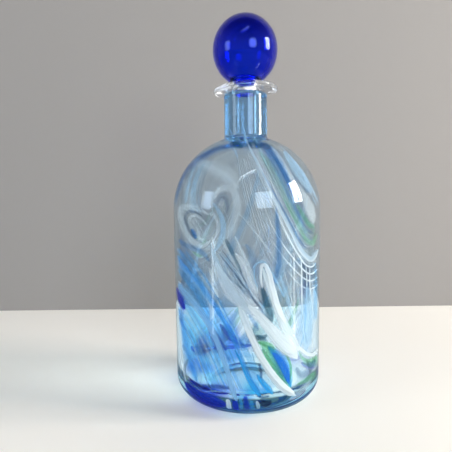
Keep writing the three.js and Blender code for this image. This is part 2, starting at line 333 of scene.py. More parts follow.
def trailGlass(look, streaks):
    material, add = newMaterial(look["name"])
    lane = add("ShaderNodeAttribute", attribute_name="lane").outputs["Vector"]
    across = add("ShaderNodeAttribute", attribute_name="across").outputs["Fac"]
    body = add("ShaderNodeAttribute", attribute_name="body").outputs["Fac"]
    soft = add("ShaderNodeAttribute", attribute_name="soft").outputs["Fac"]
    drawn = add("ShaderNodeMapping", {
        "Vector": lane, "Scale": (1 / (streaks["length"] * mm), 1 / (streaks["width"] * mm), 1.0)})
    threads = add("ShaderNodeTexNoise", {
        "Vector": drawn, "Scale": 1.0, "Detail": 3.0, "Distortion": streaks["waver"]})
    thin = add("ShaderNodeMapRange", {
        "Value": threads.outputs["Fac"], "From Min": streaks["thinFrom"], "From Max": streaks["thinFull"],
        "To Min": look["thin"]}, interpolation_type="SMOOTHSTEP")
    edge = add("ShaderNodeMath", {0: across}, operation="ABSOLUTE")
    feather = add("ShaderNodeMapRange", {
        "Value": edge, "From Min": soft, "From Max": 1.0, "To Min": body, "To Max": 0.0},
        interpolation_type="SMOOTHSTEP")
    cover = add("ShaderNodeMath", {0: feather, 1: thin}, operation="MULTIPLY")
    # a strand has two faces in line, and each takes half of the cover
    cover = add("ShaderNodeMath", {0: 1.0, 1: cover}, operation="SUBTRACT")
    cover = add("ShaderNodeMath", {0: cover}, operation="SQRT")
    cover = add("ShaderNodeMath", {0: 1.0, 1: cover}, operation="SUBTRACT")
    colour = add("ShaderNodeMix", {
        0: threads.outputs["Fac"], 6: toLinear(look["streak"]),
        7: toLinear(look["colour"])}, data_type="RGBA")
    face = add("ShaderNodeBsdfDiffuse", {"Color": colour.outputs[2]})
    through = add("ShaderNodeBsdfTranslucent", {"Color": colour.outputs[2]})
    opal = add("ShaderNodeMixShader", {0: look["glow"], 1: face, 2: through})
    stain = add("ShaderNodeBsdfTransparent", {"Color": toLinear(look["stain"])})
    strand = add("ShaderNodeMixShader", {0: look["milk"], 1: stain, 2: opal})
    gap = add("ShaderNodeBsdfTransparent")
    mixed = add("ShaderNodeMixShader", {0: cover, 1: gap, 2: strand})
    add("ShaderNodeOutputMaterial", {"Surface": mixed})
    return material


casedMaterial = casedGlass(casedGlassLook)
lipMaterial = clearGlass(lipGlassLook, "clear soda glass, hand wrapped")
cobaltMaterial = cobaltGlass(cobaltGlassLook)
trailMaterials = {kind: trailGlass(look, trailStreak) for kind, look in trailGlassLooks.items()}
print("glass mixed")


# Turned glass: a profile spun round the axis, the rule that the vessel, lip and stopper follow

# Both trees bend a flat grid: a share of the way along it, and an angle round it
def startTree(add, rows, sides):
    columns = add("ShaderNodeMath", {0: sides, 1: 1.0}, operation="ADD")
    grid = add("GeometryNodeMeshGrid", {
        "Size X": 1.0, "Size Y": 1.0, "Vertices X": rows, "Vertices Y": columns})
    flat = add("ShaderNodeSeparateXYZ", {0: add("GeometryNodeInputPosition")})
    along = add("ShaderNodeMath", {0: flat.outputs["X"], 1: 0.5}, operation="ADD")
    around = add("ShaderNodeMath", {0: flat.outputs["Y"], 1: 2 * math.pi}, operation="MULTIPLY")
    return grid, along, around


def finishTree(add, geometry, position, material):
    placed = add("GeometryNodeSetPosition", {"Geometry": geometry, "Position": position})
    closed = add("GeometryNodeMergeByDistance", {"Geometry": placed, "Distance": mergeDistance})
    smooth = add("GeometryNodeSetShadeSmooth", {"Geometry": closed})
    real = add("GeometryNodeRealizeInstances", {"Geometry": smooth})
    dressed = add("GeometryNodeSetMaterial", {"Geometry": real, "Material": material})
    add("NodeGroupOutput", {"Geometry": dressed})


def turnedGlassTree():
    tree, add, given = newTree("turned glass", {
        "Profile": "Object", "Rings": "Int", "Segments": "Int", "Material": "Material"})
    grid, way, turn = startTree(add, given["Rings"], given["Segments"])
    outline = add("GeometryNodeObjectInfo", {"Object": given["Profile"]}).outputs["Geometry"]
    point = add("GeometryNodeSampleCurve", {"Curves": outline, "Factor": way}, mode="FACTOR")
    at = add("ShaderNodeSeparateXYZ", {0: point.outputs["Position"]})
    sine = add("ShaderNodeMath", {0: turn}, operation="SINE")
    cosine = add("ShaderNodeMath", {0: turn}, operation="COSINE")
    x = add("ShaderNodeMath", {0: at.outputs["X"], 1: sine}, operation="MULTIPLY")
    y = add("ShaderNodeMath", {0: at.outputs["X"], 1: cosine}, operation="MULTIPLY")
    spun = add("ShaderNodeCombineXYZ", {0: x, 1: y, 2: at.outputs["Z"]})
    finishTree(add, grid.outputs["Mesh"], spun, given["Material"])
    return tree


def turnedPiece(name, outline, shape, material):
    guide = profileCurve(name + "Profile", outline)
    piece = bakeTree(name, turnedTree, {
        "Profile": guide, "Rings": shape["rings"], "Segments": shape["segments"], "Material": material})
    bpy.data.objects.remove(guide)
    return piece


turnedTree = turnedGlassTree()

# The vessel: foot, wall, domed shoulder and neck in one blown bubble

wallOutline = (
    arcPoints(heelMiddle, vs["heelRadius"], vs["heelRadius"], vs["heelRadius"], -quarter, 0)
    + arcPoints(0, vs["shoulderHeight"], vs["bodyRadius"], vs["bodyRadius"], 0, filletAngle)
)
wallLength = sum(math.dist(a, b) for a, b in zip(wallOutline, wallOutline[1:]))
filletOutline = arcPoints(
    filletMiddle, filletHeight, vs["neckFillet"], vs["neckFillet"], math.pi + filletAngle, math.pi)
neckOutline = filletOutline[1:] + [(vs["neckRadius"], neckTop)]


def vesselOutline():
    puntSphere = (vs["puntRadius"] ** 2 + vs["puntRise"] ** 2) / (2 * vs["puntRise"])
    puntAngle = math.asin(vs["puntRadius"] / puntSphere)
    innerRadius = vs["bodyRadius"] - vs["wall"]
    boreAngle = math.acos(vs["bore"] / innerRadius)
    innerHeel = vs["innerHeel"]
    innerHeelMiddle = innerRadius - vs["heelTaper"] - innerHeel
    return (
        arcPoints(0, vs["puntRise"] - puntSphere, puntSphere, puntSphere, quarter, quarter - puntAngle)
        + wallOutline + neckOutline + [(vs["bore"], neckTop)]
        + arcPoints(0, vs["shoulderHeight"], innerRadius, innerRadius, boreAngle, 0)
        + arcPoints(innerHeelMiddle, vs["floor"] + innerHeel, innerHeel, innerHeel, 0, -quarter)
        + [(0, vs["floor"])]
    )


# Washes of colour in the casing: turn in degrees from the front, height, length, breadth and lean of the
# long side in degrees (0 lies level, -90 points down), colour and strength.
washes = [
    (-40, 45, 42, 26, -60, "#48b6f8", 1), (-27, 29, 11, 8, -70, "#60c4ff", 1),
    (-68, 62, 14, 7, -70, "#4a74f4", 0.9), (-60, 80, 26, 15, -50, "#5c9cec", 0.9),
    (4, 15, 10, 6, -60, "#3fc6f5", 1), (14, 14, 6, 4, -50, "#0aa0ff", 1),
    (-40, 3, 19, 7, 0, "#0630d8", 1), (-4, 2, 9, 5, 0, "#2aa0e0", 0.9), (21, 2, 9, 5, 0, "#9cbcb4", 0.6),
    (-36, 39, 7, 6, -20, "#0a66c0", 0.9), (-12, 37, 5, 8, 15, "#0c7ce8", 0.9),
    (-1, 44, 5, 4.5, -30, "#0678d0", 0.9), (62, 22, 16, 8, -20, "#a8bcd8", 0.6),
    (62, 70, 40, 12, -88, "#b0d8f8", 0.6), (52, 100, 26, 8, -60, "#a9d6c8", 0.45),
    (32, 130, 30, 8, -62, "#7fa6e4", 0.6), (-52, 144, 16, 6, 30, "#3f78d0", 0.8),
    (232, 18, 9, 9, 0, "#0a4a98", 1), (211, 17, 7, 11, 20, "#0a54a8", 1),
    (196, 20, 6, 10, 0, "#0078f4", 1), (172, 20, 8, 8, 0, "#2a5560", 0.9),
    (200, 45, 34, 16, -50, "#7cc0f8", 0.7), (150, 36, 24, 10, -50, "#7fd0d0", 0.6),
    (130, 7, 16, 6, 0, "#9db4ee", 0.5), (255, 8, 14, 6, 0, "#1f6fd0", 0.9),
    (120, 95, 36, 12, -55, "#b0cff2", 0.45), (235, 96, 34, 12, -55, "#b4cff2", 0.45),
]
vesselColour = dict(
    clear="#e8f1fb", inside="#fafcfe", neck="#a6ccf2", neckFrom=150, neckFull=160, twist=19.3, climb=0.1,
    sway=((0.3, 2, 55, 0), (0.15, 3, -80, 1)),  # size, waves round, waves up and start of each, in radians
    filmLow=0.5, filmHigh=0.15, filmFrom=150, filmTo=100, rimFrom=14, rimFull=26, heelTop=12,
)


def smoothStep(low, high, value):
    share = np.clip((value - low) / (high - low), 0, 1)
    return share * share * (3 - 2 * share)


def colourVessel(mesh, colour):
    places = np.empty(len(mesh.vertices) * 3)
    mesh.vertices.foreach_get("co", places)
    x, y, z = places.reshape(-1, 3).T
    turn = np.arctan2(x, -y)
    height = z / mm
    tint = np.tile(np.array(toLinear(colour["inside"])), (len(z), 1))
    for about, up, long, broad, lean, shade, strength in washes:
        right = np.remainder(turn - math.radians(about) + math.pi, 2 * math.pi) - math.pi
        right *= vs["bodyRadius"]
        rise = height - up
        lean = math.radians(lean)
        along = right * math.cos(lean) + rise * math.sin(lean)
        aside = rise * math.cos(lean) - right * math.sin(lean)
        share = strength * np.exp(-((along / long) ** 2 + (aside / broad) ** 2) ** 2)
        tint += (np.array(toLinear(shade)) - tint) * share[:, None]
    inside = insideShare(x, y, z)
    rim = smoothStep(colour["rimFrom"], colour["rimFull"], np.hypot(x, y) / mm)
    low = smoothStep(colour["heelTop"], colour["heelTop"] / 2, height)
    shown = np.where(height > vs["shoulderHeight"], inside, rim * np.where(inside, 1, low))
    plain = np.where(inside[:, None], toLinear(colour["inside"]), toLinear(colour["clear"]))
    tint = plain + (tint - plain) * shown[:, None]
    share = smoothStep(colour["neckFrom"], colour["neckFull"], height)
    tint += (np.array(toLinear(colour["neck"])) - tint) * (share * ~inside)[:, None]
    twisted = turn + colour["twist"] * z
    for size, waves, upward, start in colour["sway"]:
        twisted += size * np.sin(waves * turn + upward * z + start)
    radius = vs["bodyRadius"] * mm
    swirl = np.stack([radius * np.cos(twisted), radius * np.sin(twisted), colour["climb"] * z], axis=1)
    film = colour["filmLow"] + (colour["filmHigh"] - colour["filmLow"]) * smoothStep(
        colour["filmFrom"], colour["filmTo"], height)
    film[inside] = 0
    mesh.attributes.new("wash", "FLOAT_COLOR", "POINT").data.foreach_set("color", tint.ravel())
    mesh.attributes.new("swirl", "FLOAT_VECTOR", "POINT").data.foreach_set("vector", swirl.ravel())
    mesh.attributes.new("film", "FLOAT", "POINT").data.foreach_set("value", film)


def insideShare(x, y, z):
    half = vs["wall"] / 2
    radius, height = np.hypot(x, y) / mm, z / mm
    dome = np.hypot(radius, np.maximum(0, height - vs["shoulderHeight"]))
    inside = (dome < vs["bodyRadius"] - half) & (height > vs["floor"] - half)
    return np.where(height > filletHeight, radius < (vs["bore"] + vs["neckRadius"]) / 2, inside)


vessel = turnedPiece("vesselGlass", vesselOutline(), vesselShape, casedMaterial)
colourVessel(vessel.data, vesselColour)
for vertex in vessel.data.vertices:
    out = Vector((vertex.co.x, vertex.co.y, 0))
    if insideShare(*vertex.co) and out.length > 2 * vs["bore"] * mm:
        drift = noise.noise(vertex.co / (vs["unevenSpan"] * mm)) * vs["unevenness"] * mm
        vertex.co += out.normalized() * drift
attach(vessel, bottleBody)
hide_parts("vessel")
print("vessel blown:", len(vessel.data.polygons), "faces")


# The lip: a clear disc wrapped round the end of the neck

def lipOutline():
    rim = ls["thickness"] / 2
    soft = ls["mouthRounding"]
    return (
        [(vs["bore"], lipBottom), (vs["neckRadius"], lipBottom)]
        + arcPoints(ls["radius"] - rim, lipTop - rim, rim, rim, -quarter, quarter)
        + arcPoints(vs["bore"] + soft, lipTop - soft, soft, soft, quarter, 2 * quarter)
        + [(vs["bore"], lipBottom)]
    )


lip = turnedPiece("lipGlass", lipOutline(), lipShape, lipMaterial)
for vertex in lip.data.vertices:
    turn = math.atan2(vertex.co.x, -vertex.co.y)
    radius = math.hypot(vertex.co.x, vertex.co.y) / mm
    share = max(0.0, (radius - vs["neckRadius"]) / (ls["radius"] - vs["neckRadius"]))
    hang = ls["sag"] * max(0.0, math.cos(turn - math.radians(ls["sagTurn"])))
    vertex.co.z -= (hang + ls["ripple"] * (1 + math.sin(ls["ripples"] * turn)) / 2) * share * mm
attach(lip, bottleBody)
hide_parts("lip_disc")
print("lip wrapped")


# The stopper: a hollow ball on a short tube

def ballOutline():
    socket = ss["plugRadius"] + jointGap
    hollow = ss["radius"] - ss["wall"]
    hollowHalf = ss["halfHeight"] - ss["wall"]
    hollowFloor = ballBottom + ss["floor"]
    seat = -math.acos(ss["collarRadius"] / ss["radius"])
    floorAngle = math.asin((hollowFloor - ballMiddle) / hollowHalf)
    return (
        [(socket, ballBottom)]
        + arcPoints(0, ballMiddle, ss["radius"], ss["halfHeight"], seat, quarter)
        + arcPoints(0, ballMiddle, hollow, hollowHalf, quarter, floorAngle)
        + [(socket, hollowFloor), (socket, ballBottom)]
    )


def plugOutline():
    bottom = lipTop - ss["plugDepth"]
    soft = ss["plugRounding"]
    return (
        [(ss["plugBore"], bottom)]
        + arcPoints(ss["plugRadius"] - soft, bottom + soft, soft, soft, -quarter, 0)
        + [(ss["plugRadius"], collarBottom)]
        + arcPoints(ss["collarRadius"] - soft, collarBottom + soft, soft, soft, -quarter, 0)
        + arcPoints(ss["collarRadius"] - soft, collarTop - soft, soft, soft, 0, quarter)
        + [(ss["plugRadius"], collarTop), (ss["plugRadius"], ballBottom + ss["floor"] - jointGap)]
        + [(ss["plugBore"], ballBottom + ss["floor"] - jointGap), (ss["plugBore"], bottom)]
    )


for pieceName, outline, node in (
    ("stopperBallGlass", ballOutline(), "stopper_ball"),
    ("stopperPlugGlass", plugOutline(), "stopper_plug"),
):
    piece = turnedPiece(pieceName, outline, stopperShape, cobaltMaterial)
    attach(piece, stopperBody)
    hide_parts(node)
print("stopper turned")


# Trails: strands of glass that follow a path on the wall, just under its surface

trailShape = dict(depth=0.1, thickness=0.3, steps=90, sides=12, tipPower=10.0, soft=0.72)

# Each strand's glass, how much of it covers, and its path: turn in degrees from the front, share of the way
# up the wall, width in millimetres
trailPaths = {
    "white_trail_broad": ("white", 0.4, [
        (-22, 0.54, 2), (-18, 0.495, 6), (-10, 0.445, 10), (2, 0.4, 8), (12, 0.352, 6), (22, 0.305, 7),
        (31, 0.265, 9), (38, 0.235, 4)]),
    "white_trail_fork": ("white", 0.9, [
        (-2, 0.345, 2.5), (3, 0.305, 3.5), (9, 0.25, 3.5), (17, 0.195, 3.5), (27, 0.142, 3.5),
        (36, 0.108, 2.5)]),
    "white_trail_arch": ("white", 0.75, [
        (10.5, 0.455, 1.4), (9.5, 0.5, 1.6), (11.5, 0.528, 2), (14.5, 0.51, 3), (17.5, 0.46, 4),
        (22, 0.395, 4), (27, 0.345, 3)]),
    "white_trail_upper": ("white", 0.5, [
        (-8, 0.565, 2.5), (-4, 0.54, 3.5), (1, 0.487, 4), (5, 0.44, 3), (8, 0.415, 2)]),
    "white_trail_leaf": ("white", 0.15, [
        (-30, 0.575, 1.5), (-37, 0.632, 2), (-47, 0.672, 2), (-58, 0.68, 2), (-60, 0.655, 2),
        (-53, 0.62, 2), (-45, 0.578, 2), (-38, 0.56, 1.6)]),
    "white_trail_shoulder": ("white", 0.2, [
        (8, 0.95, 1.5), (12, 0.85, 2), (17, 0.762, 2.2), (23, 0.672, 2.2), (32, 0.595, 2.2),
        (45, 0.525, 1.8)]),
    "white_trail_back": ("white", 0.6, [
        (100, 0.75, 2), (115, 0.66, 4), (130, 0.55, 6), (142, 0.45, 7), (150, 0.35, 6), (165, 0.26, 4),
        (185, 0.2, 2)]),
    "white_trail_back_low": ("white", 0.4, [
        (210, 0.66, 2), (220, 0.6, 3), (232, 0.52, 4), (242, 0.43, 4), (255, 0.36, 3), (270, 0.33, 2)]),
    "pale_trail_veil": ("pale", 0.6, [
        (-23, 0.715, 1.5), (-17, 0.672, 3), (-16, 0.63, 3.5), (-19, 0.59, 3), (-23, 0.565, 1.8)]),
    "pale_trail_left": ("pale", 0.5, [
        (-66, 0.425, 2), (-47, 0.395, 3), (-31, 0.35, 4), (-24, 0.305, 4), (-17, 0.245, 4),
        (-13, 0.18, 3.5), (-11, 0.125, 2.5)]),
    "pale_trail_shoulder": ("pale", 0.6, [
        (50, 0.93, 1.5), (50, 0.86, 3), (55, 0.785, 4), (62, 0.735, 3.5), (70, 0.7, 2)]),
    "azure_trail_left": ("azure", 0.55, [
        (-64, 0.53, 2), (-42, 0.485, 3), (-26, 0.415, 3.5), (-15, 0.357, 4), (-7, 0.3, 4),
        (-1, 0.262, 4), (4, 0.205, 3.5), (8, 0.15, 2.5)]),
    "azure_trail_side": ("azure", 0.7, [
        (92, 0.5, 2), (99, 0.42, 3.5), (105, 0.33, 3.5), (110, 0.22, 3), (118, 0.14, 2)]),
    "azure_trail_shoulder": ("azure", 0.22, [
        (22, 0.9, 2), (23, 0.85, 3), (27, 0.785, 3.5), (32, 0.725, 3.5), (39, 0.67, 3), (48, 0.61, 2.5),
        (57, 0.58, 1.8)]),
    "azure_trail_back": ("azure", 0.35, [
        (165, 0.85, 2), (172, 0.74, 4), (182, 0.62, 5), (195, 0.5, 5), (205, 0.4, 4), (222, 0.32, 2.5)]),
    "cobalt_trail_heel": ("cobalt", 0.97, [
        (-58, 0.115, 2), (-42, 0.1, 4), (-28, 0.088, 4), (-18, 0.082, 2)]),
    "cobalt_trail_back_heel": ("royal", 0.8, [
        (170, 0.1, 2), (190, 0.09, 4), (210, 0.095, 4), (228, 0.115, 2)]),
    "green_trail_drop": ("green", 0.15, [
        (14, 0.27, 1.5), (19, 0.245, 5), (24, 0.215, 7), (29, 0.18, 5), (33, 0.145, 2)]),
    "green_trail_right": ("green", 0.5, [(44, 0.2, 2), (55, 0.18, 3.5), (66, 0.165, 3.5), (78, 0.17, 2)]),
    "green_trail_back": ("green", 0.7, [(120, 0.33, 2), (130, 0.25, 4), (140, 0.18, 4), (150, 0.13, 2)]),
}


def laidTrailTree():
    tree, add, given = newTree("laid trail", {
        "Path": "Object", "Wall": "Object", "Body Radius": "Float", "Depth": "Float", "Thickness": "Float",
        "Steps": "Int", "Sides": "Int", "Tip Power": "Float", "Material": "Material"})
    grid, along, around = startTree(add, given["Steps"], given["Sides"])
    path = add("GeometryNodeObjectInfo", {"Object": given["Path"]}).outputs["Geometry"]
    wall = add("GeometryNodeObjectInfo", {"Object": given["Wall"]}).outputs["Geometry"]
    thickness = add("GeometryNodeInputRadius")
    spot = add("GeometryNodeSampleCurve", {
        "Curves": path, "Value": thickness, "Factor": along}, mode="FACTOR")
    centre = add("ShaderNodeSeparateXYZ", {0: spot.outputs["Position"]})
    heading = add("ShaderNodeSeparateXYZ", {0: spot.outputs["Tangent"]})
    # both ends draw out to a point
    ends = add("ShaderNodeMath", {0: along, 1: 2.0, 2: -1.0}, operation="MULTIPLY_ADD")
    ends = add("ShaderNodeMath", {0: ends}, operation="ABSOLUTE")
    ends = add("ShaderNodeMath", {0: ends, 1: given["Tip Power"]}, operation="POWER")
    ends = add("ShaderNodeMath", {0: 1.0, 1: ends}, operation="SUBTRACT")
    ends = add("ShaderNodeMath", {0: ends}, operation="SQRT")
    half = add("ShaderNodeMath", {0: spot.outputs["Value"], 1: ends}, operation="MULTIPLY")
    across = add("ShaderNodeMath", {0: around}, operation="COSINE")
    lift = add("ShaderNodeMath", {0: around}, operation="SINE")
    aside = add("ShaderNodeMath", {0: across, 1: half}, operation="MULTIPLY")
    # true directions on the wall, whose girth shrinks on the dome
    foot = add("GeometryNodeSampleCurve", {"Curves": wall, "Length": centre.outputs["Y"]}, mode="LENGTH")
    girth = add("ShaderNodeSeparateXYZ", {0: foot.outputs["Position"]}).outputs["X"]
    shrink = add("ShaderNodeMath", {0: girth, 1: given["Body Radius"]}, operation="DIVIDE")
    level = add("ShaderNodeMath", {0: heading.outputs["X"], 1: shrink}, operation="MULTIPLY")
    course = add("ShaderNodeCombineXYZ", {0: level, 1: heading.outputs["Y"]})
    course = add("ShaderNodeVectorMath", {0: course}, operation="NORMALIZE")
    course = add("ShaderNodeSeparateXYZ", {0: course})
    right = add("ShaderNodeMath", {0: course.outputs["Y"], 1: aside}, operation="MULTIPLY")
    right = add("ShaderNodeMath", {0: right, 1: shrink}, operation="DIVIDE")
    right = add("ShaderNodeMath", {0: centre.outputs["X"], 1: right}, operation="SUBTRACT")
    rise = add("ShaderNodeMath", {
        0: course.outputs["X"], 1: aside, 2: centre.outputs["Y"]}, operation="MULTIPLY_ADD")
    turn = add("ShaderNodeMath", {0: right, 1: given["Body Radius"]}, operation="DIVIDE")
    skin = add("GeometryNodeSampleCurve", {"Curves": wall, "Length": rise}, mode="LENGTH")
    onSkin = add("ShaderNodeSeparateXYZ", {0: skin.outputs["Position"]})
    slope = add("ShaderNodeSeparateXYZ", {0: skin.outputs["Tangent"]})
    # a lens-shaped section, sunk into the wall
    swell = add("ShaderNodeMath", {0: lift, 1: ends}, operation="MULTIPLY")
    swell = add("ShaderNodeMath", {0: 1.0, 1: swell}, operation="SUBTRACT")
    swell = add("ShaderNodeMath", {0: swell, 1: 0.5}, operation="MULTIPLY")
    sunk = add("ShaderNodeMath", {
        0: swell, 1: given["Thickness"], 2: given["Depth"]}, operation="MULTIPLY_ADD")
    inward = add("ShaderNodeMath", {0: slope.outputs["Z"], 1: sunk}, operation="MULTIPLY")
    radius = add("ShaderNodeMath", {0: onSkin.outputs["X"], 1: inward}, operation="SUBTRACT")
    height = add("ShaderNodeMath", {
        0: slope.outputs["X"], 1: sunk, 2: onSkin.outputs["Z"]}, operation="MULTIPLY_ADD")
    sine = add("ShaderNodeMath", {0: turn}, operation="SINE")
    cosine = add("ShaderNodeMath", {0: turn}, operation="COSINE")
    x = add("ShaderNodeMath", {0: radius, 1: sine}, operation="MULTIPLY")
    y = add("ShaderNodeMath", {0: radius, 1: cosine}, operation="MULTIPLY")
    y = add("ShaderNodeMath", {0: 0.0, 1: y}, operation="SUBTRACT")
    laid = add("ShaderNodeCombineXYZ", {0: x, 1: y, 2: height})
    run = add("GeometryNodeCurveLength", {0: path})
    run = add("ShaderNodeMath", {0: along, 1: run}, operation="MULTIPLY")
    lane = add("ShaderNodeCombineXYZ", {0: run, 1: aside})
    marked = add("GeometryNodeStoreNamedAttribute", {
        "Geometry": grid.outputs["Mesh"], "Name": "lane", "Value": lane}, data_type="FLOAT_VECTOR")
    marked = add("GeometryNodeStoreNamedAttribute", {
        "Geometry": marked, "Name": "across", "Value": across}, data_type="FLOAT")
    finishTree(add, marked, laid, given["Material"])
    return tree


trailTree = laidTrailTree()
wallGuide = profileCurve("wallProfile", wallOutline + neckOutline)


def layTrail(name, path, shape, material):
    girth, tall = vs["bodyRadius"] * mm, wallLength * mm
    places = [(math.radians(turn) * girth, way * tall, 0) for turn, way, _ in path]
    guide = layCurve(name + "Path", places, [width * mm for _, _, width in path])
    trail = bakeTree(name, trailTree, {
        "Path": guide, "Wall": wallGuide, "Body Radius": girth, "Depth": shape["depth"] * mm,
        "Thickness": shape["thickness"] * mm, "Steps": shape["steps"], "Sides": shape["sides"],
        "Tip Power": shape["tipPower"], "Material": material})
    bpy.data.objects.remove(guide)
    for label in ("body", "soft"):
        marks = trail.data.attributes.new(label, "FLOAT", "POINT")
        marks.data.foreach_set("value", [shape[label]] * len(marks.data))
    return trail


for node, (kind, body, path) in trailPaths.items():
    first, *rest = node.split("_")
    pieceName = first + "".join(word.capitalize() for word in rest)
    trail = layTrail(pieceName, path, dict(trailShape, body=body), trailMaterials[kind])
    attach(trail, bottleBody)
    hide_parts(node)
print("trails laid:", len(trailPaths))

